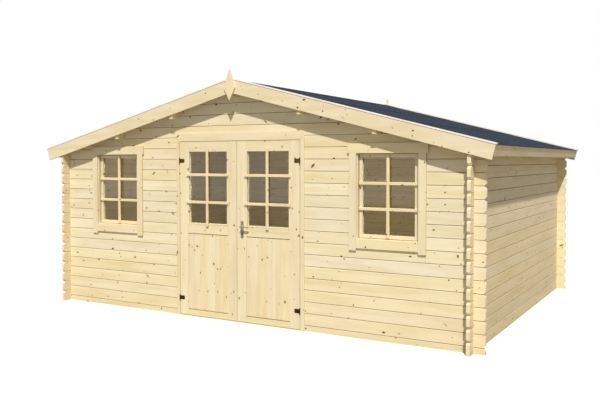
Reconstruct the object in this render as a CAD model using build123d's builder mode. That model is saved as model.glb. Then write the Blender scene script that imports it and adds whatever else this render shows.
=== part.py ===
"""Garden shed of interlocking logs with a double door, two windows and a felted gable roof.

Millimetres, +Z up. The origin is on the ground at the middle of the plan. The front, with the
door and the windows, faces -Y, and the ridge runs along Y.
"""
from build123d import *
from math import cos, floor, radians, sin, tan
import os

os.makedirs("parts", exist_ok=True)

# Plan and logs
width = 5150.0  # over the outer faces of the two side walls
depth = 3910.0  # over the outer faces of the front and back walls
log_height = 121.0
log_thickness = 34.0
log_projection = 110.0  # log ends beyond the crossing wall
log_groove = 5.0  # V groove along each joint
log_end_chamfer = 24.0  # cut off the corners of each log's end
butt_joint_x = 2118.0  # where two logs of one course meet under the right window
butt_joint_course = 6  # whole courses below that one
butt_joint_width = 3.0
full_courses = 15  # whole logs in a side wall under the bevelled top log
top_log_height = 100.0  # bevelled top log of a side wall, at its outer face

# Roof
roof_pitch = 14.4
eave_reach = 222.0  # side wall's outer face to the eave board's top corner
roof_board = 18.0
felt_thickness = 4.0
felt_drip = 6.0
bargeboard_width = 135.0
bargeboard_thickness = 18.0
verge_strip_height = 14.0
verge_strip_width = 45.0
eave_board_width = 100.0
eave_board_thickness = 18.0
purlin_width = 45.0
purlin_height = 140.0
purlin_spacing = 822.0
purlins_per_slope = 2

# Finials
finial_width = 142.0
finial_above = 192.0  # widest level up to the top point
finial_below = 136.0  # widest level down to the bottom point
finial_drop = 87.0  # ridge top down to the widest level
finial_thickness = 20.0

# Doorway
doorway_half = 800.0  # centre to the cut log ends
door_lining = 17.0
door_trim_width = 45.0
door_trim_proud = 10.0
door_stop = 22.0
door_stop_thickness = 18.0
lintel_height = 42.5
door_head_trim = 86.0
threshold_height = 8.0

# Door leaves
leaf_gap = 5.5  # clearance round each leaf
leaf_thickness = 40.0
stile_width = 116.0
top_rail = 97.0
bottom_rail = 61.0
panel_top = 932.0
middle_rail = 102.0
bead_width = 13.0
bead_proud = 2.0
panel_recess = 4.0
panel_thickness = 24.0
panel_gap_low = 9.0  # open groove between the panel's boards and the bottom rail
panel_gap_high = 9.0  # open groove under the middle rail
panel_gap_depth = 18.0
glass_thickness = 4.0
glass_set_back = 5.0
glass_edge = 8.0  # glass held in its groove

# Hinges and handle
hinge_heights = (200.0, 1738.0)
hinge_radius = 6.0
hinge_length = 65.0
hinge_end_knuckle = 10.5  # each of the two on the post
hinge_split = 0.5
hinge_pin_radius = 3.0
hinge_pin_clearance = 0.05
hinge_plate = 65.0  # on the leaf, from the pin's axis
hinge_plate_thickness = 2.5
hinge_plate_corner = 7.0  # cut off
hinge_flap = 30.0  # let into the edge of the post
handle_height = 1035.0
handle_from_edge = 66.0
backplate_width = 36.0
backplate_height = 182.0
backplate_drop = 121.0  # lever axis down to the plate's lower end
backplate_thickness = 4.0
handle_neck = 44.0
handle_neck_radius = 8.0
lever_length = 98.0
lever_sag = 5.0  # drop of the lever's end below its neck
lever_height = 12.0
lever_thickness = 14.0

# Windows
window_centre = 1733.0
window_clear_width = 640.0  # between the side trims
window_clear_height = 835.0  # between the bottom and top trims
window_drop = 2.0  # underside of the top trim below a side wall's last whole log
window_lining = 20.0
window_frame_depth = 74.0
window_stop = 12.0
window_reveal_side = 11.0  # frame seen between a side trim and the sash
window_reveal_level = 5.0  # frame seen between the top or bottom trim and the sash
sash_gap = 5.0
sash_width = 34.0
sash_thickness = 32.0
sash_set_back = 30.0  # wall's outer face to the sash's front
window_glass_set_back = 16.0
trim_width = 75.0
trim_thickness = 18.0
top_trim_height = 95.0
top_trim_extra = 20.0  # beyond the side trims at each end
bottom_trim_height = 90.0
side_trim_drop = 24.0  # below the bottom trim

# Worked out from the sizes above
pitch = radians(roof_pitch)
wall_x = width / 2
wall_y = depth / 2
end_x = wall_x + log_projection
end_y = wall_y + log_projection
verge_y = end_y + bargeboard_thickness
roof_reach = (wall_x + eave_reach) / cos(pitch)
boards_reach = roof_reach - eave_board_thickness
courses_top = full_courses * log_height
half_course = log_height / 2
doorway_top = courses_top + log_height + half_course
leaf_top = doorway_top - lintel_height - leaf_gap
window_top = courses_top - window_drop
window_bottom = window_top - window_clear_height
roof_thickness = roof_board / cos(pitch)  # plumb
ridge_height = courses_top + top_log_height + wall_x * tan(pitch) + roof_thickness
crossing_top = (full_courses + 0.25) * log_height  # above it a corner belongs to the side wall


def roof_point(side, along, below):
    """Point (x, z) on one slope, along it from the ridge and square below the boards' top."""
    across = along * cos(pitch) - below * sin(pitch)
    return side * across, ridge_height - along * sin(pitch) - below * cos(pitch)


def roof_layer(side, over, under, reach):
    """Outline of a layer of one slope that meets its twin on the ridge line."""
    return [
        (0, ridge_height - over / cos(pitch)),
        roof_point(side, reach, over),
        roof_point(side, reach, under),
        (0, ridge_height - under / cos(pitch)),
    ]


def underside(x):
    """Height of the underside of the roof boards above a point of the plan."""
    return ridge_height - roof_thickness - abs(x) * tan(pitch)


def outline_face(points, plane):
    """Closed outline of straight edges as a face on a plane."""
    with BuildSketch(plane) as outline:
        with BuildLine():
            Polyline(*points, close=True)
        make_face()
    return outline.sketch


def along_y(points, y_from, y_to, mode=Mode.ADD):
    """Extrude an outline of (x, z) points between two places along Y."""
    extrude(outline_face(points, Plane.XZ.offset(-y_to)), amount=y_to - y_from, mode=mode)


def along_x(points, x_from, x_to, mode=Mode.ADD):
    """Extrude an outline of (y, z) points between two places along X."""
    extrude(outline_face(points, Plane.YZ.offset(x_from)), amount=x_to - x_from, mode=mode)


def block(x_range, y_range, z_range, mode=Mode.ADD):
    """Box between pairs of coordinates."""
    sizes = [abs(pair[1] - pair[0]) for pair in (x_range, y_range, z_range)]
    centre = [sum(pair) / 2 for pair in (x_range, y_range, z_range)]
    with Locations(tuple(centre)):
        Box(*sizes, mode=mode)


def grown(pair, by):
    """A pair of coordinates widened at both ends."""
    return pair[0] - by, pair[1] + by


def on_side(side, pair):
    """A pair of x coordinates on the left (-1) or right (1) half."""
    return tuple(sorted((side * pair[0], side * pair[1])))


def log_section(outer, inner, low, tops, first_joint):
    """Section through stacked logs, grooved at the joints, with the outer and inner top heights."""
    into = log_groove if inner > outer else -log_groove
    count = floor((max(tops) - first_joint) / log_height) + 1
    joints = [first_joint + index * log_height for index in range(count)]
    edges = []
    for face, step, top in ((outer, into, tops[0]), (inner, -into, tops[1])):
        edge = [(face, low)]
        for joint in joints:
            if low + log_groove < joint < top - log_groove:
                edge.append((face, joint - log_groove))
                edge.append((face + step, joint))
                edge.append((face, joint + log_groove))
        edge.append((face, top))
        edges.append(edge)
    return edges[0] + edges[1][::-1]


def polygon(points, mode=Mode.ADD):
    """Closed outline of straight edges in the sketch that is being drawn."""
    Polygon(*points, align=None, mode=mode)


def patch(across, up, mode=Mode.ADD):
    """Rectangle between pairs of sketch coordinates."""
    with Locations((sum(across) / 2, sum(up) / 2)):
        Rectangle(abs(across[1] - across[0]), abs(up[1] - up[0]), mode=mode)


def under_roof():
    """Keep what lies below the roof boards, in a sketch that looks along Y."""
    polygon([
        (-end_x, 0),
        (end_x, 0),
        (end_x, underside(end_x)),
        (0, underside(0)),
        (-end_x, underside(end_x)),
    ], mode=Mode.INTERSECT)


def purlin_outline(x):
    """Purlin under the roof boards, with its top cut to the slope."""
    left, right = x - purlin_width / 2, x + purlin_width / 2
    low = underside(x) - purlin_height
    top = [(right, underside(right)), (left, underside(left))]
    if abs(x) < purlin_width / 2:
        top.insert(1, (0, underside(0)))
    return [(left, low), (right, low)] + top


purlin_steps = range(-purlins_per_slope, purlins_per_slope + 1)
purlin_places = [step * purlin_spacing for step in purlin_steps]


def seats(across, first, count):
    """Half-log seats where the logs of another wall pass through this one."""
    levels = [(across, first + index * log_height) for index in range(count)]
    with Locations(levels):
        Rectangle(log_thickness, half_course, mode=Mode.SUBTRACT)


def log_tips(tip, inward, joints):
    """Cut the corners off the log ends with a V at each joint."""
    for joint in joints:
        polygon([
            (tip, joint - log_end_chamfer),
            (tip, joint + log_end_chamfer),
            (tip + inward * log_end_chamfer, joint),
        ], mode=Mode.SUBTRACT)


# Front and back walls: the first course is a half log, so their joints lie between the side walls'
end_wall_joints = [(course + 0.5) * log_height for course in range(full_courses + 1)]
side_wall_joints = [course * log_height for course in range(1, full_courses + 1)]
long_course_top = end_wall_joints[-1]  # top of the last log that passes through the side walls
inside_half = wall_x - log_thickness


def end_wall_corner(side):
    """Seats for the side wall's logs and the log tips at one end of a front or back wall."""
    seats(side * (wall_x - log_thickness / 2), half_course, full_courses)
    patch((side * inside_half, side * wall_x), (crossing_top, long_course_top), Mode.SUBTRACT)
    log_tips(side * end_x, -side, end_wall_joints)


def end_wall_logs(facing, x_from, x_to, low, high):
    """Logs of a front (facing -1) or back (facing 1) wall between two places and two heights."""
    outer = facing * wall_y
    inner = outer - facing * log_thickness
    along_x(log_section(outer, inner, low, (high, high), half_course), x_from, x_to)


# Front wall beside the doorway, left and right, with a hole for each window
front_plane = Plane.XZ.offset(wall_y - log_thickness)
window_hole_half = window_clear_width / 2 + window_lining
window_hole_z = (window_bottom - window_lining, window_top + window_lining)
for side, name in ((-1, "left"), (1, "right")):
    with BuildPart() as front_wall:
        end_wall_logs(-1, *sorted((side * doorway_half, side * end_x)), 0, doorway_top)
        with BuildSketch(front_plane):
            patch((side * doorway_half, side * end_x), (0, long_course_top))
            patch((side * doorway_half, side * inside_half), (long_course_top, doorway_top))
            under_roof()
            end_wall_corner(side)
            hole_centre = side * window_centre
            patch((hole_centre - window_hole_half, hole_centre + window_hole_half), window_hole_z,
                  Mode.SUBTRACT)
        extrude(amount=log_thickness, mode=Mode.INTERSECT)
        if side > 0:
            joint_x = (butt_joint_x - butt_joint_width / 2, butt_joint_x + butt_joint_width / 2)
            joint_low = end_wall_joints[butt_joint_course]
            block(joint_x, (-wall_y, log_groove - wall_y), (joint_low, joint_low + log_height),
                  mode=Mode.SUBTRACT)
    front_wall.part.label = f"front_wall_{name}"
    export_step(front_wall.part, f"parts/front_wall_{name}.step")

# Front gable over the doorway, seated round the purlins
gable_half = (underside(0) - doorway_top) / tan(pitch)
with BuildPart() as front_gable:
    end_wall_logs(-1, -gable_half, gable_half, doorway_top, underside(0))
    with BuildSketch(front_plane):
        polygon([(-gable_half, doorway_top), (gable_half, doorway_top), (0, underside(0))])
        for place in purlin_places:
            polygon(purlin_outline(place), Mode.SUBTRACT)
    extrude(amount=log_thickness, mode=Mode.INTERSECT)
front_gable.part.label = "front_gable"
export_step(front_gable.part, "parts/front_gable.step")

# Back wall with its gable
with BuildPart() as back_wall:
    end_wall_logs(1, -end_x, end_x, 0, underside(0))
    with BuildSketch(Plane.XZ.offset(-wall_y)):
        patch((-end_x, end_x), (0, long_course_top))
        patch((-inside_half, inside_half), (long_course_top, underside(0)))
        under_roof()
        for side in (-1, 1):
            end_wall_corner(side)
        for place in purlin_places:
            polygon(purlin_outline(place), Mode.SUBTRACT)
    extrude(amount=log_thickness, mode=Mode.INTERSECT)
back_wall.part.label = "back_wall"
export_step(back_wall.part, "parts/back_wall.step")

# Side walls: whole logs with a top log bevelled to the roof
for side, name in ((-1, "left"), (1, "right")):
    outer = side * wall_x
    inner = side * inside_half
    tops = (underside(outer), underside(inner))
    with BuildPart() as side_wall:
        along_y(log_section(outer, inner, 0, tops, log_height), -end_y, end_y)
        with BuildSketch(Plane.YZ.offset(min(outer, inner))):
            patch((-end_y, end_y), (0, underside(inner)))
            for facing in (-1, 1):
                seats(facing * (wall_y - log_thickness / 2), 0, full_courses + 1)
                log_tips(facing * end_y, -facing, side_wall_joints)
        extrude(amount=log_thickness, mode=Mode.INTERSECT)
    side_wall.part.label = f"side_wall_{name}"
    export_step(side_wall.part, f"parts/side_wall_{name}.step")

# Purlins, with a lip under the bargeboards' lower edges that ends flush with their faces
for name, places in (("left", [place for place in purlin_places if place < 0]),
                     ("right", [place for place in purlin_places if place > 0]),
                     ("ridge", [place for place in purlin_places if place == 0])):
    with BuildPart() as purlins:
        for place in places:
            along_y(purlin_outline(place), -verge_y, verge_y)
        for side in (-1, 1):
            for board_range in ((-verge_y, -end_y), (end_y, verge_y)):
                along_y(roof_layer(side, 0, bargeboard_width, roof_reach), *board_range,
                        mode=Mode.SUBTRACT)
    purlins.part.label = f"purlins_{name}"
    export_step(purlins.part, f"parts/purlins_{name}.step")

# Roof boards, felt and eave boards of each slope
for side, name in ((-1, "left"), (1, "right")):
    with BuildPart() as roof_boards:
        along_y(roof_layer(side, 0, roof_board, boards_reach), -end_y, end_y)
    roof_boards.part.label = f"roof_boards_{name}"
    export_step(roof_boards.part, f"parts/roof_boards_{name}.step")

    with BuildPart() as felt:
        along_y(roof_layer(side, -felt_thickness, 0, roof_reach + felt_drip), -verge_y, verge_y)
    felt.part.label = f"roof_felt_{name}"
    export_step(felt.part, f"parts/roof_felt_{name}.step")

    with BuildPart() as eave_board:
        corners = ((boards_reach, 0), (roof_reach, 0), (roof_reach, eave_board_width),
                   (boards_reach, eave_board_width))
        along_y([roof_point(side, *corner) for corner in corners], -end_y, end_y)
    eave_board.part.label = f"eave_board_{name}"
    export_step(eave_board.part, f"parts/eave_board_{name}.step")

# Bargeboards, the strips on top of them and the finials, front and back
strip_over = -felt_thickness - verge_strip_height
for facing, end in ((-1, "front"), (1, "back")):
    board_range = sorted((facing * end_y, facing * verge_y))
    strip_range = sorted((facing * verge_y, facing * (verge_y - verge_strip_width)))
    for side, name in ((-1, "left"), (1, "right")):
        with BuildPart() as bargeboard:
            along_y(roof_layer(side, 0, bargeboard_width, roof_reach), *board_range)
        bargeboard.part.label = f"bargeboard_{end}_{name}"
        export_step(bargeboard.part, f"parts/bargeboard_{end}_{name}.step")

        with BuildPart() as verge_strip:
            along_y(roof_layer(side, strip_over, -felt_thickness, roof_reach + felt_drip),
                    *strip_range)
        verge_strip.part.label = f"verge_strip_{end}_{name}"
        export_step(verge_strip.part, f"parts/verge_strip_{end}_{name}.step")

    finial_level = ridge_height - finial_drop
    finial_range = sorted((facing * verge_y, facing * (verge_y + finial_thickness)))
    with BuildPart() as finial:
        along_y([
            (0, finial_level - finial_below),
            (finial_width / 2, finial_level),
            (0, finial_level + finial_above),
            (-finial_width / 2, finial_level),
        ], *finial_range)
    finial.part.label = f"finial_{end}"
    export_step(finial.part, f"parts/finial_{end}.step")

# Door frame: posts and head that clasp the logs, with a stop behind the leaves, and a threshold
front = -wall_y
frame_front = front - door_trim_proud
frame_edge = doorway_half - door_lining
frame_outer = frame_edge + door_trim_width
leaf_front = frame_front
leaf_back = leaf_front + leaf_thickness
stop_front = leaf_back + leaf_gap
frame_back = stop_front + door_stop_thickness
head_low = leaf_top + leaf_gap
flap_x = (frame_edge, frame_edge + hinge_plate_thickness)
flap_y = (frame_front, frame_front + hinge_flap)
for side, name in ((-1, "left"), (1, "right")):
    with BuildPart() as door_post:
        profile = [
            (frame_edge, frame_front),
            (frame_outer, frame_front),
            (frame_outer, front),
            (doorway_half, front),
            (doorway_half, front + log_thickness),
            (frame_outer, front + log_thickness),
            (frame_outer, frame_back),
            (frame_edge - door_stop, frame_back),
            (frame_edge - door_stop, stop_front),
            (frame_edge, stop_front),
        ]
        extrude(outline_face([(side * x, y) for x, y in profile], Plane.XY), amount=head_low)
        for level in hinge_heights:
            block(on_side(side, flap_x), flap_y, grown((level, level), hinge_length / 2),
                  mode=Mode.SUBTRACT)
    door_post.part.label = f"door_post_{name}"
    export_step(door_post.part, f"parts/door_post_{name}.step")

with BuildPart() as door_head:
    along_x([
        (frame_front, head_low),
        (frame_front, head_low + door_head_trim),
        (front, head_low + door_head_trim),
        (front, doorway_top),
        (front + log_thickness, doorway_top),
        (front + log_thickness, head_low + door_head_trim),
        (frame_back, head_low + door_head_trim),
        (frame_back, head_low),
    ], -frame_outer, frame_outer)
    for side in (-1, 1):
        log_part = sorted((side * doorway_half, side * frame_outer))
        block(log_part, (front, front + log_thickness), (head_low, doorway_top), mode=Mode.SUBTRACT)
door_head.part.label = "door_head"
export_step(door_head.part, "parts/door_head.step")

stop_edge = frame_edge - door_stop
with BuildPart() as threshold:
    block((-frame_edge, frame_edge), (frame_front, stop_front), (0, threshold_height))
    block((-stop_edge, stop_edge), (stop_front, frame_back), (0, threshold_height))
threshold.part.label = "door_threshold"
export_step(threshold.part, "parts/door_threshold.step")

# Door leaves with their glass
leaf_low = threshold_height + leaf_gap
leaf_inner = leaf_gap / 2
leaf_outer = frame_edge - leaf_gap
panel_x = (leaf_inner + stile_width, leaf_outer - stile_width)
light_z = (panel_top + middle_rail, leaf_top - top_rail)
glass_x = (panel_x[0] + bead_width, panel_x[1] - bead_width)
glass_z = (light_z[0] + bead_width, light_z[1] - bead_width)
panel_z = (leaf_low + bottom_rail, panel_top)
for side, name in ((-1, "left"), (1, "right")):
    pane_front = leaf_front + glass_set_back
    pane_range = (pane_front, pane_front + glass_thickness)
    with BuildPart() as leaf:
        block(on_side(side, (leaf_inner, leaf_outer)), (leaf_front, leaf_back), (leaf_low, leaf_top))
        block(on_side(side, panel_x), (leaf_front - bead_proud, leaf_front), light_z)
        block(on_side(side, glass_x), (leaf_front - bead_proud, leaf_back), glass_z,
              mode=Mode.SUBTRACT)
        block(on_side(side, grown(glass_x, glass_edge)), pane_range, grown(glass_z, glass_edge),
              mode=Mode.SUBTRACT)
        panel_front = leaf_front + panel_recess
        panel_back = panel_front + panel_thickness
        block(on_side(side, panel_x), (leaf_front, panel_front), panel_z, mode=Mode.SUBTRACT)
        block(on_side(side, panel_x), (panel_back, leaf_back), panel_z, mode=Mode.SUBTRACT)
        gap_range = (panel_front, panel_front + panel_gap_depth)
        block(on_side(side, panel_x), gap_range, (panel_z[0], panel_z[0] + panel_gap_low),
              mode=Mode.SUBTRACT)
        block(on_side(side, panel_x), gap_range, (panel_z[1] - panel_gap_high, panel_z[1]),
              mode=Mode.SUBTRACT)
    leaf.part.label = f"door_leaf_{name}"
    export_step(leaf.part, f"parts/door_leaf_{name}.step")

    with BuildPart() as door_glass:
        block(on_side(side, grown(glass_x, glass_edge)), pane_range, grown(glass_z, glass_edge))
    door_glass.part.label = f"door_glass_{name}"
    export_step(door_glass.part, f"parts/door_glass_{name}.step")

# Hinges: two end knuckles joined by the pin on the post, and a middle knuckle on the leaf
hinge_x = frame_edge - leaf_gap / 2
hinge_y = leaf_front - hinge_radius
middle_low = hinge_end_knuckle + hinge_split
middle_high = hinge_length - middle_low


def turned(side, level, profile):
    """Turn a half section of (radius, height) points round a hinge axis."""
    origin = (side * hinge_x, hinge_y, level)
    half_section = outline_face(profile, Plane(origin=origin, x_dir=(1, 0, 0), z_dir=(0, -1, 0)))
    revolve(half_section, axis=Axis(origin, (0, 0, 1)))


with BuildPart() as hinge_bases:
    for side in (-1, 1):
        for level in hinge_heights:
            low = level - hinge_length / 2
            high = level + hinge_length / 2
            turned(side, low, [
                (0, 0),
                (hinge_radius, 0),
                (hinge_radius, hinge_end_knuckle),
                (hinge_pin_radius, hinge_end_knuckle),
                (hinge_pin_radius, hinge_length - hinge_end_knuckle),
                (hinge_radius, hinge_length - hinge_end_knuckle),
                (hinge_radius, hinge_length),
                (0, hinge_length),
            ])
            block(on_side(side, flap_x), flap_y, (low, high))
            for ends in ((low, low + hinge_end_knuckle), (high - hinge_end_knuckle, high)):
                block(on_side(side, flap_x), (hinge_y, frame_front), ends)
hinge_bases.part.label = "hinge_bases"
export_step(hinge_bases.part, "parts/hinge_bases.step")

for side, name in ((-1, "left"), (1, "right")):
    with BuildPart() as hinge_leaf:
        for level in hinge_heights:
            low = level - hinge_length / 2
            bore = hinge_pin_radius + hinge_pin_clearance
            with BuildSketch(Plane.XZ.offset(-leaf_front)) as plate:
                patch((side * (hinge_x - hinge_plate), side * hinge_x),
                      (low + middle_low, low + middle_high))
                chamfer(plate.vertices().group_by(Axis.X)[(side - 1) // 2],
                        length=hinge_plate_corner)
            extrude(amount=hinge_plate_thickness)
            turned(side, low, [
                (bore, middle_low),
                (hinge_radius, middle_low),
                (hinge_radius, middle_high),
                (bore, middle_high),
            ])
    hinge_leaf.part.label = f"hinge_leaf_{name}"
    export_step(hinge_leaf.part, f"parts/hinge_leaf_{name}.step")

# Lever handles on long backplates, outside and inside the right leaf
handle_x = leaf_inner + handle_from_edge
plate_low = handle_height - backplate_drop
for outward, face, name in ((-1, leaf_front, "outside"), (1, leaf_back, "inside")):
    with BuildPart() as handle:
        plate_plane = Plane(origin=(handle_x, face, plate_low + backplate_height / 2),
                            x_dir=(-outward, 0, 0), z_dir=(0, outward, 0))
        with BuildSketch(plate_plane):
            RectangleRounded(backplate_width, backplate_height, backplate_width / 3)
        extrude(amount=backplate_thickness)
        neck_plane = Plane(origin=(handle_x, face + outward * backplate_thickness, handle_height),
                           x_dir=(-outward, 0, 0), z_dir=(0, outward, 0))
        with BuildSketch(neck_plane):
            Circle(handle_neck_radius)
        extrude(amount=handle_neck)
        lever_plane = neck_plane.offset(handle_neck - lever_thickness)
        with BuildSketch(lever_plane):
            with BuildLine() as lever_line:
                ThreePointArc((0, 0), (-outward * lever_length / 2, -lever_sag / 4),
                              (-outward * lever_length, -lever_sag))
            SlotArc(lever_line.edge(), lever_height)
        extrude(amount=lever_thickness)
    handle.part.label = f"door_handle_{name}"
    export_step(handle.part, f"parts/door_handle_{name}.step")

# Windows: frame through the wall, sash with its glass, and trims on the wall
clear_half = window_clear_width / 2
clear_z = (window_bottom, window_top)
sash_hole_z = grown(clear_z, -window_reveal_level)
sash_z = grown(sash_hole_z, -sash_gap)
sash_front = front + sash_set_back
stop_y = sash_front + sash_thickness
pane_y = (sash_front + window_glass_set_back,
          sash_front + window_glass_set_back + glass_thickness)
light_half = clear_half - window_reveal_side - sash_gap - sash_width
window_light_z = grown(sash_z, -sash_width)
for side, name in ((-1, "left"), (1, "right")):
    centre = side * window_centre
    clear_x = (centre - clear_half, centre + clear_half)
    sash_hole_x = grown(clear_x, -window_reveal_side)
    sash_x = grown(sash_hole_x, -sash_gap)
    light_x = (centre - light_half, centre + light_half)
    with BuildPart() as window_frame:
        block(grown(clear_x, window_lining), (front, front + window_frame_depth),
              grown(clear_z, window_lining))
        block(sash_hole_x, (front, stop_y), sash_hole_z, mode=Mode.SUBTRACT)
        block(grown(sash_hole_x, -window_stop), (stop_y, front + window_frame_depth),
              grown(sash_hole_z, -window_stop), mode=Mode.SUBTRACT)
    window_frame.part.label = f"window_frame_{name}"
    export_step(window_frame.part, f"parts/window_frame_{name}.step")

    with BuildPart() as sash:
        block(sash_x, (sash_front, stop_y), sash_z)
        block(light_x, (sash_front, stop_y), window_light_z, mode=Mode.SUBTRACT)
        block(grown(light_x, glass_edge), pane_y, grown(window_light_z, glass_edge),
              mode=Mode.SUBTRACT)
    sash.part.label = f"window_sash_{name}"
    export_step(sash.part, f"parts/window_sash_{name}.step")

    trim_y = (front - trim_thickness, front)
    outer_x = grown(clear_x, trim_width)
    with BuildPart() as trim:
        for pair in ((outer_x[0], clear_x[0]), (clear_x[1], outer_x[1])):
            block(pair, trim_y, (window_bottom - bottom_trim_height - side_trim_drop, window_top))
        block(clear_x, trim_y, (window_bottom - bottom_trim_height, window_bottom))
        block(grown(outer_x, top_trim_extra), trim_y, (window_top, window_top + top_trim_height))
    trim.part.label = f"window_trim_{name}"
    export_step(trim.part, f"parts/window_trim_{name}.step")

# One pane in each window
with BuildPart() as window_glass:
    for side in (-1, 1):
        pane_x = grown((side * window_centre, side * window_centre), light_half + glass_edge)
        block(pane_x, pane_y, grown(window_light_z, glass_edge))
window_glass.part.label = "window_glass"
export_step(window_glass.part, "parts/window_glass.step")
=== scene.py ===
from math import cos, pi, radians, sin, tan

import bmesh
import bpy
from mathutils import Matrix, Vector


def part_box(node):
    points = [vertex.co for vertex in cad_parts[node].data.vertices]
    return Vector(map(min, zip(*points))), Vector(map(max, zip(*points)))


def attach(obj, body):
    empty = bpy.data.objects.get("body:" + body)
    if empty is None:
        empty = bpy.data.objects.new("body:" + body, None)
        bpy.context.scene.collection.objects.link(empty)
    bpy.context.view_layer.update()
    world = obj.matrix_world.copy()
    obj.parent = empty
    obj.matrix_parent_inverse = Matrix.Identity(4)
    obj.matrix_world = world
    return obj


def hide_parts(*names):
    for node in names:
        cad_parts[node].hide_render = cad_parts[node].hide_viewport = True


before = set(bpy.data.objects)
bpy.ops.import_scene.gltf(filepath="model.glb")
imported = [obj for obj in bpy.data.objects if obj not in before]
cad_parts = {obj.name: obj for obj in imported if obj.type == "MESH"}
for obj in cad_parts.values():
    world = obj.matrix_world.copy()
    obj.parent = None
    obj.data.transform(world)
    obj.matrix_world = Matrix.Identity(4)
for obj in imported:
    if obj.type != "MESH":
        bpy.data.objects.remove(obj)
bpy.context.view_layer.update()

X, Y, Z = 0, 1, 2
OUT = Vector((0, -1, 0))
UP = Vector((0, 0, 1))
RIGHT = Vector((1, 0, 0))
SIDES = (("left", -1), ("right", 1))

# Sizes that the solids have too, in metres
COURSE = 0.121
WALL_X = 2.575
WALL_Y = 1.955
PITCH = radians(14.4)
BEAD = 0.013
GLASS_EDGE = 0.008
PANEL_Z = (0.0745, 0.932)
LEAF_TOP = 1.960
SASH_WIDTH = 0.034
SASH_GAP = 0.0045
ROOF_BOARD = 0.018
PURLIN_HALF = 0.0225
PURLIN_STEP = 0.822
FELT = 0.004
HINGE_X = 0.78025
HINGE_LEVELS = (0.200, 1.738)
HANDLE_X = 0.06875
HANDLE_Z = 1.035
CYLINDER_DROP = 0.072


def lowest(name):
    """Lowest corner of a node at rest."""
    return Vector(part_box(name)[0])


def highest(name):
    """Highest corner of a node at rest."""
    return Vector(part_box(name)[1])


# Materials

class Tree:
    """Short calls for building nodes."""

    def __init__(self, node_tree):
        self.nodes = node_tree.nodes
        self.links = node_tree.links

    def add(self, kind, **settings):
        node = self.nodes.new(kind)
        for key, value in settings.items():
            setattr(node, key, value)
        return node

    def put(self, value, socket):
        if hasattr(value, "is_output"):
            self.links.new(value, socket)
        else:
            socket.default_value = value

    def math(self, operation, *values):
        node = self.add("ShaderNodeMath", operation=operation)
        for value, socket in zip(values, node.inputs):
            self.put(value, socket)
        return node.outputs[0]

    def plus(self, first, second):
        return self.math("ADD", first, second)

    def minus(self, first, second):
        return self.math("SUBTRACT", first, second)

    def times(self, first, second):
        return self.math("MULTIPLY", first, second)

    def divided(self, first, second):
        return self.math("DIVIDE", first, second)

    def times_plus(self, first, second, added):
        return self.math("MULTIPLY_ADD", first, second, added)

    def power(self, value, exponent):
        return self.math("POWER", value, exponent)

    def absolute(self, value):
        return self.math("ABSOLUTE", value)

    def above(self, value, limit):
        return self.math("GREATER_THAN", value, limit)

    def below(self, value, limit):
        return self.math("LESS_THAN", value, limit)

    def larger(self, first, second):
        return self.math("MAXIMUM", first, second)

    def length(self, first, second):
        """Length of the slant over two square legs."""
        return self.math("SQRT", self.plus(self.power(first, 2.0), self.power(second, 2.0)))

    def remap(self, value, low, high, to_low=0.0, to_high=1.0, smooth=True):
        node = self.add("ShaderNodeMapRange")
        node.interpolation_type = "SMOOTHSTEP" if smooth else "LINEAR"
        for index, item in enumerate((value, low, high, to_low, to_high)):
            self.put(item, node.inputs[index])
        return node.outputs[0]

    def spread(self, chance, low, high):
        """A chance of 0 to 1 as a number from low to high."""
        return self.remap(chance, 0.0, 1.0, low, high, smooth=False)

    def blend(self, factor, first, second):
        """Plain number between two others."""
        return self.times_plus(factor, self.minus(second, first), first)

    def vector(self, x, y, z):
        node = self.add("ShaderNodeCombineXYZ")
        for item, socket in zip((x, y, z), node.inputs):
            self.put(item, socket)
        return node.outputs[0]

    def noise(self, vector, scale, detail=2.0, roughness=0.5):
        node = self.add("ShaderNodeTexNoise")
        self.put(vector, node.inputs["Vector"])
        self.put(scale, node.inputs["Scale"])
        self.put(detail, node.inputs["Detail"])
        self.put(roughness, node.inputs["Roughness"])
        return node.outputs[0]

    def grain_noise(self, grain, scales, detail=2.0, roughness=0.5):
        """Noise with one scale along the grain and another across it."""
        (a, c, d), (along, across) = grain, scales
        vector = self.vector(self.times(a, along), self.times(c, across), self.times(d, across))
        return self.noise(vector, 1.0, detail, roughness)

    def mix(self, factor, first, second, how="MIX"):
        node = self.add("ShaderNodeMix", data_type="RGBA", blend_type=how)
        self.put(factor, node.inputs[0])
        self.put(first, node.inputs[6])
        self.put(second, node.inputs[7])
        return node.outputs[2]

    def separate(self, vector):
        node = self.add("ShaderNodeSeparateXYZ")
        self.put(vector, node.inputs[0])
        return node.outputs

    def first_rays(self, *kinds):
        """1 for rays of these kinds before they meet a matt surface, or else 0."""
        path = self.add("ShaderNodeLightPath")
        found = path.outputs[f"Is {kinds[0]} Ray"]
        for kind in kinds[1:]:
            found = self.larger(found, path.outputs[f"Is {kind} Ray"])
        return self.times(found, self.below(path.outputs["Diffuse Depth"], 0.5))


class Material(Tree):
    """A new material, with its nodes round its own shader."""

    def __init__(self, name):
        self.material = bpy.data.materials.new(name)
        self.material.use_nodes = True
        super().__init__(self.material.node_tree)
        self.shader = self.nodes["Principled BSDF"]

    def set(self, **values):
        """Give shader inputs a value each, with _ for the spaces in their names."""
        for name, value in values.items():
            self.put(value, self.shader.inputs[name.replace("_", " ")])

    def bump(self, height, distance, strength):
        """Raise the surface a little by a height of 0 to 1."""
        node = self.add("ShaderNodeBump")
        self.put(strength, node.inputs["Strength"])
        self.put(distance, node.inputs["Distance"])
        self.put(height, node.inputs["Height"])
        self.set(Normal=node.outputs[0])


def linear(red, green, blue):
    """Linear colour from a screen colour of 0 to 255."""
    values = []
    for part in (red, green, blue):
        part /= 255
        values.append(part / 12.92 if part <= 0.04045 else ((part + 0.055) / 1.055) ** 2.4)
    return (*values, 1.0)


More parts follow.
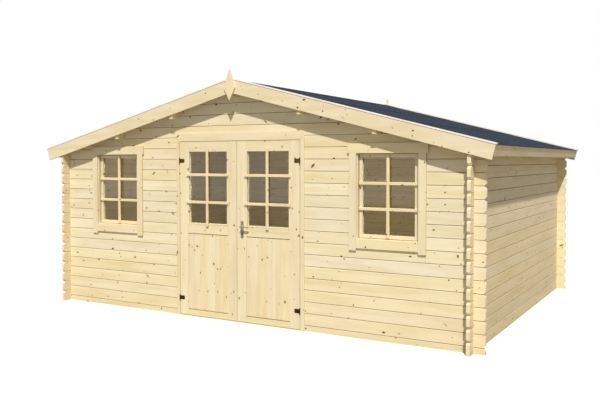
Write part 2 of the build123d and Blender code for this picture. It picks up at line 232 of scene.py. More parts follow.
# Colours of spruce
PALE = linear(244, 231, 198)
WARM = linear(234, 217, 176)
STREAK = linear(217, 190, 140)
SAPWOOD = linear(240, 222, 178)
HALO = linear(232, 208, 158)
KNOT = linear(112, 82, 48)
KNOT_HEART = linear(48, 32, 18)
JOINT = linear(104, 78, 46)
SAWN_END = linear(222, 192, 144)
# Painted shade for faces that look along X, as in the reveals of openings
REVEAL_SHADE = linear(150, 128, 86)

# Tints over them; the side walls' tint is painted shade, darker than the end walls
PLAIN = (1.0, 1.0, 1.0)
JOINERY_TINT = (0.985, 0.97, 0.925)
SIDE_SHADE_TINT = (0.93, 0.885, 0.84)
VERGE_TINT = (1.08, 1.16, 1.38)

# Knots: cells in a metre along, across and into the wood, and sizes in metres
KNOT_CELLS = (4.2, 12.0, 2.0)
KNOT_SHARE = 0.42
KNOT_SMALLEST = 0.0032
KNOT_SPREAD = 0.0080
SPIKE_FROM = 0.92
SPIKE_THIN = 0.42
SPIKE_LEAN = 1.5

# Scales of the wood's noises, along and across the grain
FIBRE = (9.0, 420.0)
CLOUD = (1.7, 14.0)
BAND = (2.6, 46.0)
WOBBLE = (0.9, 3.0)
RAGGED = (160.0, 160.0)

# Year rings in a metre, and how far off the pith lies behind the face
RINGS = 270.0
PITH_DEPTH = (0.03, 0.012)
FACE_DEPTH = 0.05

# A joint is dark out to the first distance from it, and gone at the second
RAIL_JOINT = (0.0004, 0.0012)
BOARD_JOINT = (0.0010, 0.0036)

# Joints on faces further than this behind a wall's outer face are fainter by this factor
INNER_DEPTH = 0.02
INNER_JOINT = 0.35

# Numbers that set each board's and each rail's own chances apart
BOARD_OFFSET = 37.0
SIDE_NUMBER = 20.0
RAIL_NUMBER = 57.0


def knot_masks(tree, grain, knots):
    """Masks of the knots, of their dark hearts and of the grain that bends round them.

    Some cells of a pattern carry a knot: a round one, or a long and leaning one where a branch
    was cut lengthways.
    """
    pattern = tree.add("ShaderNodeTexVoronoi", feature="F1")
    tree.put(tree.vector(*(tree.times(axis, scale) for axis, scale in zip(grain, KNOT_CELLS))),
             pattern.inputs["Vector"])
    tree.put(1.0, pattern.inputs["Scale"])
    tree.put(0.9, pattern.inputs["Randomness"])
    centre = tree.separate(pattern.outputs["Position"])
    away_a = tree.minus(grain[0], tree.divided(centre[0], KNOT_CELLS[0]))
    away_c = tree.minus(grain[1], tree.divided(centre[1], KNOT_CELLS[1]))
    chance = tree.separate(pattern.outputs["Color"])
    present = tree.above(chance[0], 1.0 - KNOT_SHARE * knots)
    spike = tree.above(tree.math("FRACT", tree.times(chance[0], 71.0)), SPIKE_FROM)
    lean = tree.times(spike, tree.spread(chance[1], -SPIKE_LEAN, SPIKE_LEAN))
    away_a = tree.times_plus(away_c, lean, away_a)
    away_a = tree.times(away_a, tree.remap(chance[1], 0.0, 1.0, 0.55, 0.95))
    away_c = tree.times(away_c, tree.blend(spike, 1.0, SPIKE_THIN))
    ragged = tree.grain_noise(grain, RAGGED, roughness=0.6)
    reach = tree.times(tree.length(away_a, away_c), tree.remap(ragged, 0.2, 0.8, 0.8, 1.2))
    size = tree.plus(tree.times(tree.power(chance[2], 1.8), KNOT_SPREAD), KNOT_SMALLEST)

    def disc(full, gone):
        """Full out to one share of each knot's size, and gone at another."""
        return tree.times(present, tree.remap(reach, tree.times(size, full),
                                              tree.times(size, gone), 1.0, 0.0))

    return disc(0.8, 1.0), disc(0.15, 0.65), disc(1.0, 3.6)


def late_wood(tree, grain, middle, board, halo, second, third):
    """Dark lines of the year rings, cut lengthways and bent round each knot."""
    wobble = tree.grain_noise(grain, WOBBLE, 3.0)
    pith_c = tree.times(tree.minus(second, 0.5), board * 1.1)
    from_c = tree.times_plus(tree.minus(wobble, 0.5), 0.07, tree.minus(middle, pith_c))
    pith_d = tree.times_plus(third, *PITH_DEPTH)
    from_d = tree.plus(tree.math("PINGPONG", grain[2], FACE_DEPTH), pith_d)
    rings = tree.times_plus(halo, -0.006, tree.length(from_c, from_d))
    return tree.power(tree.math("FRACT", tree.times(rings, RINGS)), 3.0)


def wood(name, along, across, depth, board, start=0.0, seed=0.0, knots=1.0, joints=True,
         rails=(), tint=PLAIN, inner=None, painted_reveal_shade=0.0, sawn=0.3):
    """Planed spruce with its grain along one axis and its boards side by side on another.

    The axes are X, Y and Z. The boards are `board` wide and start at `start`, with dark lines
    between them where `joints` is set. `knots` is the number of knots against that of a log.
    Each rail is (middle, half length, low, high): a level member in an upright frame, with its
    grain along X, at that distance from the middle of the shed on both sides. Joints nearer to
    the middle of the shed than `inner` are fainter. The reveal shade darkens the faces that
    look along X with painted shade, as in the reveals of openings, and `sawn` the sawn ends.
    """
    tree = Material(name)
    place = tree.add("ShaderNodeTexCoord")
    axes = tree.separate(place.outputs["Object"])
    normal = tree.separate(place.outputs["Normal"])
    along_x = tree.absolute(normal[X])
    a, c, d = axes[along], axes[across], axes[depth]
    facing = tree.absolute(normal[along])

    # The boards by number, and the place in each
    shifted = tree.divided(tree.minus(c, start), board)
    number = tree.math("FLOOR", shifted)
    inside = tree.minus(shifted, number)
    middle = tree.times(tree.minus(inside, 0.5), board)
    seam = 0.0
    for index, (centre, half, low, high) in enumerate(rails):
        room = tree.minus(half, tree.absolute(tree.minus(tree.absolute(axes[X]), centre)))
        level = tree.times(tree.above(axes[Z], low), tree.below(axes[Z], high))
        rail = tree.times(tree.above(room, 0.0), level)
        side_number = tree.times_plus(tree.math("SIGN", axes[X]), SIDE_NUMBER,
                                      index + RAIL_NUMBER)
        a = tree.blend(rail, a, axes[X])
        c = tree.blend(rail, c, axes[Z])
        number = tree.blend(rail, number, side_number)
        middle = tree.blend(rail, middle, tree.minus(axes[Z], (low + high) / 2))
        facing = tree.blend(rail, facing, along_x)
        seam = tree.larger(seam, tree.times(rail, tree.remap(room, *RAIL_JOINT, 1.0, 0.0)))

    chance = tree.add("ShaderNodeTexWhiteNoise", noise_dimensions="2D")
    tree.put(tree.vector(number, seed, 0.0), chance.inputs["Vector"])
    first, second, third = tree.separate(chance.outputs["Color"])
    grain = (tree.plus(a, tree.times_plus(first, BOARD_OFFSET, seed)), c, d)
    knot, heart, halo = knot_masks(tree, grain, knots)
    late = late_wood(tree, grain, middle, board, halo, second, third)

    # Long fibres and slow changes of colour, and each board a little its own
    fibre = tree.grain_noise(grain, FIBRE, roughness=0.6)
    cloud = tree.grain_noise(grain, CLOUD, 3.0, 0.55)
    band = tree.grain_noise(grain, BAND)
    colour = tree.mix(tree.remap(cloud, 0.34, 0.72), PALE, WARM)
    colour = tree.mix(tree.remap(band, 0.5, 0.8, 0.0, 0.4), colour, SAPWOOD)
    colour = tree.mix(tree.times(late, 0.3), colour, STREAK)
    colour = tree.mix(tree.remap(fibre, 0.35, 0.75, 0.0, 0.16), colour, STREAK)
    shade = tree.add("ShaderNodeHueSaturation")
    tree.put(tree.spread(third, 0.494, 0.506), shade.inputs["Hue"])
    tree.put(tree.spread(second, 0.92, 1.12), shade.inputs["Saturation"])
    tree.put(tree.spread(first, 0.955, 1.02), shade.inputs["Value"])
    tree.put(colour, shade.inputs["Color"])
    colour = tree.mix(tree.times(halo, 0.3), shade.outputs[0], HALO)
    colour = tree.mix(tree.times(knot, 0.9), colour, KNOT)
    colour = tree.mix(tree.times(heart, 0.95), colour, KNOT_HEART)

    # Sawn ends, joints, painted shade in reveals, and the tint (painted shade on side walls)
    end = tree.above(facing, 0.6)
    flat = tree.minus(1.0, end)
    colour = tree.mix(tree.times(end, sawn), colour, SAWN_END)
    if joints:
        edge = tree.math("MINIMUM", inside, tree.minus(1.0, inside))
        crack = tree.remap(edge, *(width / board for width in BOARD_JOINT), 1.0, 0.0)
        seam = tree.larger(seam, crack)
    if joints or rails:
        shown = flat
        if inner is not None:
            inside_face = tree.below(tree.absolute(d), inner)
            shown = tree.times(flat, tree.blend(inside_face, 1.0, INNER_JOINT))
        colour = tree.mix(tree.times(tree.times(seam, shown), 0.9), colour, JOINT)
    # Faces that look along X get painted shade, as in the reveals of openings
    if painted_reveal_shade:
        colour = tree.mix(tree.times(tree.above(along_x, 0.8), painted_reveal_shade), colour, REVEAL_SHADE)
    # For the side walls and eave boards the tint is painted shade
    if tint != PLAIN:
        colour = tree.mix(flat, colour, (*tint, 1.0), "MULTIPLY")

    rough = tree.times_plus(knot, -0.16, tree.remap(fibre, 0.2, 0.8, 0.56, 0.74))
    relief = tree.times_plus(late, 0.5, tree.times(fibre, 0.6))
    relief = tree.times_plus(knot, 0.8, relief)
    tree.set(Base_Color=colour, Roughness=rough, Specular_IOR_Level=0.25)
    tree.bump(relief, 0.00035, 0.6)
    return tree.material


def metal_material(name, colour, other, rough, scale, change, metallic=1.0):
    """Metal with cloudy and speckled changes in its colour, roughness and surface."""
    tree = Material(name)
    place = tree.add("ShaderNodeTexCoord").outputs["Object"]
    fine = tree.noise(place, scale, 4.0, 0.6)
    large = tree.noise(place, scale * 0.13, 2.0, 0.5)
    colour = tree.mix(tree.remap(large, 0.4, 0.7, 0.0, change), colour, other)
    colour = tree.mix(tree.remap(fine, 0.45, 0.75, 0.0, change), colour, other)
    tree.set(Base_Color=colour, Metallic=metallic,
             Roughness=tree.remap(fine, 0.2, 0.8, rough * 0.8, rough * 1.25))
    tree.bump(fine, 0.0002, 0.5)
    return tree.material


def felt_material():
    """Mineral-faced roofing felt: fine grit on a dark blue-grey sheet."""
    tree = Material("felt_mineral")
    place = tree.add("ShaderNodeTexCoord").outputs["Object"]
    grit = tree.add("ShaderNodeTexVoronoi", feature="F1")
    tree.put(place, grit.inputs["Vector"])
    tree.put(520.0, grit.inputs["Scale"])
    speck = tree.separate(grit.outputs["Color"])[0]
    cloud = tree.noise(place, 2.3, 4.0, 0.6)
    colour = tree.mix(speck, linear(19, 27, 40), linear(46, 57, 72))
    colour = tree.mix(tree.remap(cloud, 0.35, 0.7, 0.0, 0.45), colour, linear(29, 37, 49))
    tree.set(Base_Color=colour, Roughness=tree.remap(speck, 0.0, 1.0, 0.86, 1.0),
             Specular_IOR_Level=0.1)
    tree.bump(tree.times_plus(cloud, 0.8, grit.outputs["Distance"]), 0.0008, 0.7)
    return tree.material


def glass_material():
    """Thin clear pane with a faint green body, a little dust and slight unevenness.

    Lamps shine through it as through thin glass, because shadow rays find it nearly clear.
    """
    tree = Material("pane_glass")
    place = tree.add("ShaderNodeTexCoord").outputs["Object"]
    wave = tree.noise(place, 3.0, 1.0, 0.4)
    dust = tree.noise(place, 40.0, 4.0, 0.7)
    tint = tree.mix(tree.remap(dust, 0.4, 0.8, 0.0, 0.25), (0.93, 0.95, 0.93, 1.0),
                    (0.86, 0.87, 0.84, 1.0))
    lamp_ray = tree.add("ShaderNodeLightPath").outputs["Is Shadow Ray"]
    tree.set(Base_Color=tint, Roughness=tree.remap(dust, 0.3, 0.8, 0.0, 0.03),
             Transmission_Weight=1.0, Alpha=tree.times_plus(lamp_ray, -0.9, 1.0), IOR=1.52,
             Specular_IOR_Level=1.0)
    tree.bump(wave, 0.0004, 0.4)
    return tree.material


# Rails of the door leaves and the windows, which lie level in upright frames
pane_low, pane_high = lowest("door_glass_right"), highest("door_glass_right")
sash_low, sash_high = lowest("window_sash_right"), highest("window_sash_right")
BEAD_LAP = BEAD - GLASS_EDGE
RAIL_LAP = 0.0001
PANEL_X = (pane_low.x - BEAD_LAP, pane_high.x + BEAD_LAP)
LIGHT_Z = (pane_low.z - BEAD_LAP, pane_high.z + BEAD_LAP)
PANEL_BOARDS = 6
PANEL_STEP = (PANEL_X[1] - PANEL_X[0]) / PANEL_BOARDS

# Half length, low and high of the boards under and over each window
TRIM_RAILS = ((0.320, 0.887, 0.9781), (0.415, 1.8129, 1.909))

# Low and high of the rails and level beads of a door leaf
DOOR_LEVELS = ((0.0, PANEL_Z[0] + RAIL_LAP), (PANEL_Z[1] - RAIL_LAP, LIGHT_Z[0]),
               (LIGHT_Z[0], LIGHT_Z[0] + BEAD), (LIGHT_Z[1] - BEAD, LIGHT_Z[1]),
               (LIGHT_Z[1], LEAF_TOP))
door_middle, door_half = sum(PANEL_X) / 2, (PANEL_X[1] - PANEL_X[0]) / 2
window_middle = (sash_low.x + sash_high.x) / 2
light_half = (sash_high.x - sash_low.x) / 2 - SASH_WIDTH
DOOR_RAILS = [(door_middle, door_half, low, high) for low, high in DOOR_LEVELS]
WINDOW_RAILS = [(window_middle, *rail) for rail in (
    *TRIM_RAILS,
    (light_half, sash_low.z - SASH_GAP, sash_low.z + SASH_WIDTH),
    (light_half, sash_high.z - SASH_WIDTH, sash_high.z + SASH_GAP))]

# The roof boards lie side by side from the front end to the back
END_Y = highest("roof_boards_right").y
BOARD_COUNT = 43
ROOF_BOARD_WIDTH = 2 * END_Y / BOARD_COUNT

# One wide board each, from start to start + width, so no joint falls on a member
MEMBER = 0.4
PLANK = 3.0
end_logs = wood("logs_end_walls", X, Z, Y, COURSE, COURSE / 2, seed=3.1,
                inner=WALL_Y - INNER_DEPTH)
# Painted shade darkens the side walls through their tint
side_logs = wood("logs_side_walls", Y, Z, X, COURSE, seed=8.4, tint=SIDE_SHADE_TINT,
                 inner=WALL_X - INNER_DEPTH, sawn=0.0)
# Door posts, leaves and windows get painted shade on their faces that look along X
post_wood = wood("joinery_upright", Z, X, Y, MEMBER, MEMBER / 2, seed=5.7, joints=False,
                 tint=JOINERY_TINT, painted_reveal_shade=0.3)
level_wood = wood("joinery_level", X, Z, Y, MEMBER, MEMBER / 2, seed=6.9, joints=False,
                  knots=1.1, tint=JOINERY_TINT)
leaf_wood = wood("door_leaf_wood", Z, X, Y, MEMBER, seed=12.3, joints=False, rails=DOOR_RAILS,
                 tint=JOINERY_TINT, painted_reveal_shade=0.3)
window_wood = wood("window_wood", Z, X, Y, MEMBER, seed=15.8, joints=False,
                   rails=WINDOW_RAILS, tint=JOINERY_TINT, painted_reveal_shade=0.4)
beam_wood = wood("purlin_wood", Y, X, Z, MEMBER / 2, MEMBER / 4, seed=2.2, joints=False)
roof_wood = wood("roof_board_wood", X, Y, Z, ROOF_BOARD_WIDTH, -END_Y, seed=9.3, knots=1.2,
                 joints=False)
board_wood = wood("bargeboard_wood", X, Z, Y, PLANK, seed=1.9, joints=False)
strip_wood = wood("verge_strip_wood", X, Z, Y, PLANK, seed=6.2, joints=False, knots=0.3,
                  tint=VERGE_TINT)
finial_wood = wood("finial_wood", Z, X, Y, MEMBER, MEMBER / 2, seed=10.4, joints=False,
                   knots=0.0)
# Painted shade darkens the eave boards through their tint, as on the side walls
eave_wood = wood("eave_board_wood", Y, Z, X, PLANK, seed=4.8, joints=False, tint=SIDE_SHADE_TINT)
panel_wood = {side: wood(f"panel_board_wood_{side}", Z, X, Y, PANEL_STEP, begin, seed=7.7,
                         knots=1.3, joints=False, tint=JOINERY_TINT)
              for side, begin in (("left", -PANEL_X[1]), ("right", PANEL_X[0]))}
felt = felt_material()
glass = glass_material()
hinge_metal = metal_material("hinge_dull_brass", linear(118, 92, 52), linear(62, 46, 22),
                             rough=0.40, scale=90.0, change=0.6)
steel = metal_material("brushed_steel", linear(196, 184, 160), linear(150, 139, 118),
                       rough=0.46, scale=120.0, change=0.4, metallic=0.8)
dark_metal = metal_material("lock_dark", linear(44, 40, 34), linear(22, 20, 17),
                            rough=0.5, scale=90.0, change=0.5)


def dress(material, *names):
    """Give CAD nodes a material."""
    for name in names:
        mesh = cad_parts[name].data
        mesh.materials.clear()
        mesh.materials.append(material)


def both(name):
    """A node's names on the left and on the right."""
    return [f"{name}_{side}" for side, _ in SIDES]


dress(end_logs, *both("front_wall"), "front_gable", "back_wall")
dress(side_logs, *both("side_wall"))
dress(beam_wood, *both("purlins"), "purlins_ridge")
dress(roof_wood, *both("roof_boards"))
dress(felt, *both("roof_felt"))
dress(eave_wood, *both("eave_board"))
for end in ("front", "back"):
    dress(finial_wood, f"finial_{end}")
    dress(board_wood, *both(f"bargeboard_{end}"))
    dress(strip_wood, *both(f"verge_strip_{end}"))
dress(post_wood, *both("door_post"))
dress(leaf_wood, *both("door_leaf"))
dress(level_wood, "door_head", "door_threshold")
dress(window_wood, *both("window_frame"), *both("window_sash"), *both("window_trim"))
dress(glass, *both("door_glass"), "window_glass")
dress(hinge_metal, "hinge_bases", *both("hinge_leaf"))
dress(steel, "door_handle_outside", "door_handle_inside")


# Pieces drawn here

def finish_mesh(name, mesh, body, material):
    """Turn a bmesh into a piece that rides on a body."""
    bmesh.ops.recalc_face_normals(mesh, faces=mesh.faces)
    data = bpy.data.meshes.new(name)
    mesh.to_mesh(data)
    mesh.free()
    piece = bpy.data.objects.new(name, data)
    bpy.context.scene.collection.objects.link(piece)
    data.materials.append(material)
    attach(piece, body)
    return piece


def prism(mesh, first, second):
    """Add a solid between two matching outlines."""
    rings = [[mesh.verts.new(point) for point in outline] for outline in (first, second)]
    count = len(first)
    for index in range(count):
        other = (index + 1) % count
        mesh.faces.new((rings[0][index], rings[0][other], rings[1][other], rings[1][index]))
    mesh.faces.new(rings[0][::-1])
    mesh.faces.new(rings[1])


def bar(mesh, start, stop, width_dir, out_dir, width, depth, chamfer):
    """Add a bar from start to stop with its two outer edges chamfered.

    start and stop lie in the middle of the bar's back face. out_dir points out of that face.
    """
    half = width / 2
    outline = [(-half, 0), (half, 0), (half, depth - chamfer), (half - chamfer, depth),
               (-half + chamfer, depth), (-half, depth - chamfer)]
    prism(mesh, *[[end + width_dir * x + out_dir * y for x, y in outline]
                  for end in (start, stop)])


# A round head's rings, and those of its cross recess: shares of its radius and its height
HEAD = ((1.0, 0.0), (1.0, 0.3), (0.9, 0.72), (0.62, 1.0))
RECESS = ((0.40, 1.0), (0.26, 0.35))
CROSS_ARM = 1.25
CROSS_CORNER = 0.6


def dome(mesh, centre, out_dir, radius, height, recess=True, sides=16):
    """Add a low round head on an upright face, with a cross recess sunk in its middle."""
    across = UP.cross(out_dir).normalized()
    levels = [(*level, False) for level in HEAD]
    if recess:
        levels += [(*level, True) for level in RECESS]
    rings = []
    for spread, lift, crossed in levels:
        ring = []
        for index in range(sides):
            angle = 2 * pi * index / sides
            direction = across * cos(angle) + UP * sin(angle)
            if crossed:
                direction *= CROSS_ARM if index % 4 == 0 else CROSS_CORNER
            ring.append(mesh.verts.new(centre + direction * radius * spread
                                       + out_dir * height * lift))
        rings.append(ring)
    for low, high in zip(rings, rings[1:]):
        for index in range(sides):
            other = (index + 1) % sides
            mesh.faces.new((low[index], low[other], high[other], high[index]))
    mesh.faces.new(rings[-1])
    mesh.faces.new(rings[0][::-1])


# Glazing bars: two level ones and one upright, lapped on the sash or the leaf
BAR_WIDTH = 0.030
BAR_PROUD = 0.017
BAR_EDGE = 0.003
UPRIGHT_BACK = 0.0004
SASH_INSET_X = 0.003
SASH_INSET_Z = 0.009
PANE_LAP_X = 0.017
PANE_LAP_FOOT = 0.022
PANE_LAP_HEAD = 0.018
PANE_SHARES = (0.299, 0.673)


def glazing_bars(name, body, levels, x_range, z_range, face):
    """Level bars with an upright bar let in just behind their faces."""
    mesh = bmesh.new()
    for level in levels:
        bar(mesh, *[Vector((x, face, level)) for x in x_range], UP, OUT, BAR_WIDTH, BAR_PROUD,
            BAR_EDGE)
    finish_mesh(f"{name}_level", mesh, body, level_wood)
    mesh = bmesh.new()
    centre = sum(x_range) / 2
    bar(mesh, *[Vector((centre, face + UPRIGHT_BACK, z)) for z in z_range], RIGHT, OUT,
        BAR_WIDTH, BAR_PROUD, BAR_EDGE)
    finish_mesh(f"{name}_upright", mesh, body, post_wood)


for side, _ in SIDES:
    low, high = lowest(f"window_sash_{side}"), highest(f"window_sash_{side}")
    pane_height = (high.z - low.z - 2 * SASH_WIDTH) / 3
    levels = [low.z + SASH_WIDTH + pane_height * step for step in (1, 2)]
    glazing_bars(f"window_bars_{side}", "shed", levels,
                 (low.x + SASH_INSET_X, high.x - SASH_INSET_X),
                 (low.z + SASH_INSET_Z, high.z - SASH_INSET_Z), low.y)
    low, high = lowest(f"door_glass_{side}"), highest(f"door_glass_{side}")
    levels = [low.z + (high.z - low.z) * share for share in PANE_SHARES]
    glazing_bars(f"door_bars_{side}", f"door_{side}", levels,
                 (low.x - PANE_LAP_X, high.x + PANE_LAP_X),
                 (low.z - PANE_LAP_FOOT, high.z + PANE_LAP_HEAD),
                 lowest(f"door_leaf_{side}").y)

# Tongued boards on both faces of each door panel: name, face, outward and the height they fill
PANEL_SKIN = 0.002
PANEL_CHAMFER = PANEL_SKIN * 0.98
PANEL_GAP = 0.0004
PANEL_FACES = (("outside", -1.961, OUT, (0.0840, 0.9225)),
               ("inside", -1.937, -OUT, (0.0750, 0.9315)))
for side, sign in SIDES:
    for face_name, face_y, out_dir, z_range in PANEL_FACES:
        mesh = bmesh.new()
        for index in range(PANEL_BOARDS):
            middle = sign * (PANEL_X[0] + PANEL_STEP * (index + 0.5))
            bar(mesh, *[Vector((middle, face_y, z)) for z in z_range], RIGHT, out_dir,
                PANEL_STEP - PANEL_GAP, PANEL_SKIN, PANEL_CHAMFER)
        finish_mesh(f"panel_boards_{face_name}_{side}", mesh, f"door_{side}",
                    panel_wood[side])

# Roof boards laid side by side from ridge to eave, with a V joint on their underside
RIDGE = highest("roof_boards_left").z
REACH = highest("roof_boards_right").x
JOINT_EDGE = 0.003


def slope_point(sign, across, under, y):
    """Point of a slope at a distance across from the ridge line, square below its top."""
    if across == 0:
        return Vector((0, y, RIDGE - under / cos(PITCH)))
    return Vector((sign * (across - under * sin(PITCH)), y,
                   RIDGE - across * tan(PITCH) - under * cos(PITCH)))


for side, sign in SIDES:
    mesh = bmesh.new()
    for index in range(BOARD_COUNT):
        low_y = -END_Y + ROOF_BOARD_WIDTH * index
        high_y = low_y + ROOF_BOARD_WIDTH
        outline = ((low_y, 0.0), (high_y, 0.0), (high_y, ROOF_BOARD - JOINT_EDGE),
                   (high_y - JOINT_EDGE, ROOF_BOARD), (low_y + JOINT_EDGE, ROOF_BOARD),
                   (low_y, ROOF_BOARD - JOINT_EDGE))
        prism(mesh, *[[slope_point(sign, across, under, y) for y, under in outline]
                      for across in (0, REACH)])
    piece = finish_mesh(f"roof_board_run_{side}", mesh, "shed", roof_wood)
    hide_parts(f"roof_boards_{side}")

# Purlins, whose ends stop behind the bargeboards and show below them
PURLIN_DEPTH = 0.162
PURLIN_EDGE = 0.003
DECK = RIDGE - ROOF_BOARD / cos(PITCH)
for name, steps in (("left", (-2, -1)), ("ridge", (0,)), ("right", (1, 2))):
    mesh = bmesh.new()
    for step in steps:
        place_x = step * PURLIN_STEP
        left, right = place_x - PURLIN_HALF, place_x + PURLIN_HALF
        low = DECK - abs(place_x) * tan(PITCH) - PURLIN_DEPTH
        outline = [(left, low + PURLIN_EDGE), (left + PURLIN_EDGE, low),
                   (right - PURLIN_EDGE, low), (right, low + PURLIN_EDGE),
                   (right, DECK - abs(right) * tan(PITCH))]
        if step == 0:
            outline.append((0.0, DECK))
        outline.append((left, DECK - abs(left) * tan(PITCH)))
        prism(mesh, *[[Vector((x, y, z)) for x, z in outline] for y in (-END_Y, END_Y)])
    piece = finish_mesh(f"purlin_beams_{name}", mesh, "shed", beam_wood)
    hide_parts(f"purlins_{name}")

# Laps of the felt, each from its edge to its back: a cap that crosses the ridge, and the lower
# edges of the sheets below it, which thin out to LAP_BACK at their backs
LAP = 0.0025
LAP_BACK = 0.0001
LAP_RANGES = ((0.16, 0.0), (1.02, 0.80), (1.93, 1.71))
VERGE_INSET = 0.0455
lap_y = highest("roof_felt_right").y - VERGE_INSET
for side, sign in SIDES:
    mesh = bmesh.new()
    for edge, back in LAP_RANGES:
        rise = LAP if back == 0 else LAP_BACK
        corners = ((edge, -FELT), (edge, -FELT - LAP), (back, -FELT - rise), (back, -FELT))
        prism(mesh, *[[slope_point(sign, across, under, y) for across, under in corners]
                      for y in (-lap_y, lap_y)])
    finish_mesh(f"felt_laps_{side}", mesh, "shed", felt)

# Hinge screws, three in each leaf's plate: back from the pin and up from its middle
PLATE_FACE = -1.9675
SCREW_PLACES = ((0.022, 0.0115), (0.022, -0.0115), (0.050, 0.0))
SCREW_RADIUS = 0.0042
SCREW_PROUD = 0.0014
for side, sign in SIDES:
    mesh = bmesh.new()
    for level in HINGE_LEVELS:
        for back, lift in SCREW_PLACES:
            dome(mesh, Vector((sign * (HINGE_X - back), PLATE_FACE, level + lift)), OUT,
                 SCREW_RADIUS, SCREW_PROUD)
    finish_mesh(f"hinge_screws_{side}", mesh, f"door_{side}", hinge_metal)

# Lock plates: screws at both ends, a collar round the lever's neck and the key cylinder
LOCK_FACES = (("outside", -1.969, OUT), ("inside", -1.921, -OUT))
PLATE_SCREWS_Z = (0.924, 1.086)
PLATE_SCREW = (0.0045, 0.0016)
COLLAR = (0.0135, 0.007)
CYLINDER = (0.0085, 0.003)
TAIL_DROP = 0.0235
TAIL_HEIGHT = 0.020
CYLINDER_TAIL = (0.010, 0.003, 0.001)
SLOT_BACK = 0.0028
SLOT_HEIGHT = 0.009
KEY_SLOT = (0.0016, 0.0006, 0.0002)
ROUND = {"recess": False, "sides": 28}
cylinder_z = HANDLE_Z - CYLINDER_DROP
for face_name, plate_face, out_dir in LOCK_FACES:
    mesh = bmesh.new()
    for z in PLATE_SCREWS_Z:
        dome(mesh, Vector((HANDLE_X, plate_face, z)), out_dir, *PLATE_SCREW)
    finish_mesh(f"handle_screws_{face_name}", mesh, "door_right", dark_metal)
    mesh = bmesh.new()
    dome(mesh, Vector((HANDLE_X, plate_face, HANDLE_Z)), out_dir, *COLLAR, **ROUND)
    finish_mesh(f"handle_collar_{face_name}", mesh, "door_right", steel)
    mesh = bmesh.new()
    dome(mesh, Vector((HANDLE_X, plate_face, cylinder_z)), out_dir, *CYLINDER, **ROUND)
    foot = Vector((HANDLE_X, plate_face, cylinder_z - TAIL_DROP))
    bar(mesh, foot, foot + UP * TAIL_HEIGHT, RIGHT, out_dir, *CYLINDER_TAIL)
    finish_mesh(f"lock_cylinder_{face_name}", mesh, "door_right", dark_metal)
    mesh = bmesh.new()
    foot = Vector((HANDLE_X, plate_face + out_dir.y * SLOT_BACK, cylinder_z - SLOT_HEIGHT / 2))
    bar(mesh, foot, foot + UP * SLOT_HEIGHT, RIGHT, out_dir, *KEY_SLOT)
    finish_mesh(f"key_slot_{face_name}", mesh, "door_right", hinge_metal)


# Camera, light and floor

def place_object(name, data, location=(0.0, 0.0, 0.0), rotation=(0.0, 0.0, 0.0)):
    """Put a camera, a lamp or the floor in the scene."""
    thing = bpy.data.objects.new(name, data)
    thing.location = location
    thing.rotation_euler = rotation
    bpy.context.scene.collection.objects.link(thing)
    return thing


# The camera, with its focal length and its shift in pixels of a picture 600 wide
PICTURE_WIDTH = 600.0
SENSOR = 36.0
FOCAL = 721.1
SHIFT = -18.7
YAW = radians(30.07)
TILT = radians(-1.63)
EYE = (4.453, -6.352 - WALL_Y, 1.738)
camera_data = bpy.data.cameras.new("camera")
camera_data.sensor_width = SENSOR
camera_data.lens = FOCAL * SENSOR / PICTURE_WIDTH
camera_data.shift_y = SHIFT / PICTURE_WIDTH
look = Vector((-sin(YAW) * cos(TILT), cos(YAW) * cos(TILT), sin(TILT)))
bpy.context.scene.camera = place_object("camera", camera_data, EYE,
                                        look.to_track_quat("-Z", "Y").to_euler())

SUNLIGHT = Vector((-0.575, 1.0, -1.45))
sun_data = bpy.data.lights.new("sun", "SUN")
sun_data.energy = 3.80
sun_data.angle = radians(1.4)
sun_data.color = (1.0, 0.99, 0.97)
sun = place_object("sun", sun_data, rotation=SUNLIGHT.to_track_quat("-Z", "Y").to_euler())
sun.visible_transmission = False


def room_lamp(name, place, turn, width, height, energy):
    """Upright lamp for the daylight inside, which would otherwise need many bounces."""
    data = bpy.data.lights.new(name, "AREA")
    data.shape = "RECTANGLE"
    data.size = width
    data.size_y = height
    data.energy = energy
    data.color = (1.0, 0.80, 0.20)
    lamp = place_object(name, data, place, (radians(90.0), 0.0, turn))
    lamp.visible_camera = False
    lamp.visible_glossy = False
    lamp.visible_transmission = False


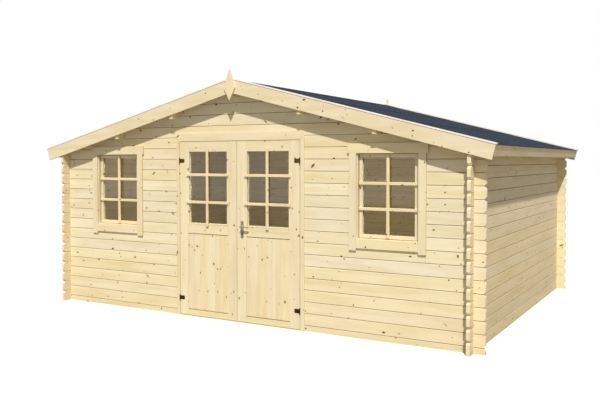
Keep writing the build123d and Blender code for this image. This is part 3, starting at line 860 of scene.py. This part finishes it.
room_lamp("room_light", place=(0.2, -1.8, 1.5), turn=0.0, width=2.6, height=0.9, energy=14.5)
room_lamp("side_light", place=(-1.4, -1.45, 1.45), turn=radians(90.0), width=0.5, height=0.8,
          energy=0.75)

# The sky, white where it is seen and fainter as a light
SKY_LIGHT = 0.35
SKY_SEEN = 1.0
world = bpy.data.worlds.new("sky")
bpy.context.scene.world = world
world.use_nodes = True
sky = Tree(world.node_tree)
background = sky.nodes["Background"]
seen = sky.first_rays("Camera", "Transmission", "Glossy")
sky.put(sky.spread(seen, SKY_LIGHT, SKY_SEEN), background.inputs["Strength"])
sky.put((1.0, 1.0, 1.0, 1.0), background.inputs["Color"])

# The floor, pale where it is seen and darker as a light. Glass and metal mirror it dark near
# the shed and pale from FAR_FLOOR on, as they would a lawn and the sky over it.
FLOOR_REACH = 60.0
FAR_FLOOR = (-24.0, -19.0)
FLOOR_SEEN = ((0.90, 0.90, 0.90, 1.0), (0.93, 0.93, 0.93, 1.0))
FLOOR_LIGHT = (0.34, 0.33, 0.31, 1.0)
MIRRORED_NEAR = (0.03, 0.03, 0.025, 1.0)
MIRRORED_FAR = (0.97, 0.98, 1.0, 1.0)
mesh = bmesh.new()
bmesh.ops.create_grid(mesh, x_segments=1, y_segments=1, size=FLOOR_REACH)
floor_mesh = bpy.data.meshes.new("floor")
mesh.to_mesh(floor_mesh)
mesh.free()
floor_piece = place_object("floor", floor_mesh)
tree = Material("floor_pale")
place = tree.add("ShaderNodeTexCoord").outputs["Object"]
pale = tree.mix(tree.noise(place, 3.0, 3.0), *FLOOR_SEEN)
far = tree.remap(tree.separate(place)[Y], *FAR_FLOOR, 1.0, 0.0)
ground = tree.mix(far, MIRRORED_NEAR, MIRRORED_FAR)
ground = tree.mix(tree.first_rays("Glossy"), FLOOR_LIGHT, ground)
tree.set(Base_Color=tree.mix(tree.first_rays("Camera", "Transmission"), ground, pale),
         Roughness=0.9, Specular_IOR_Level=0.1)
floor_mesh.materials.append(tree.material)

bpy.context.scene.view_settings.view_transform = "Standard"
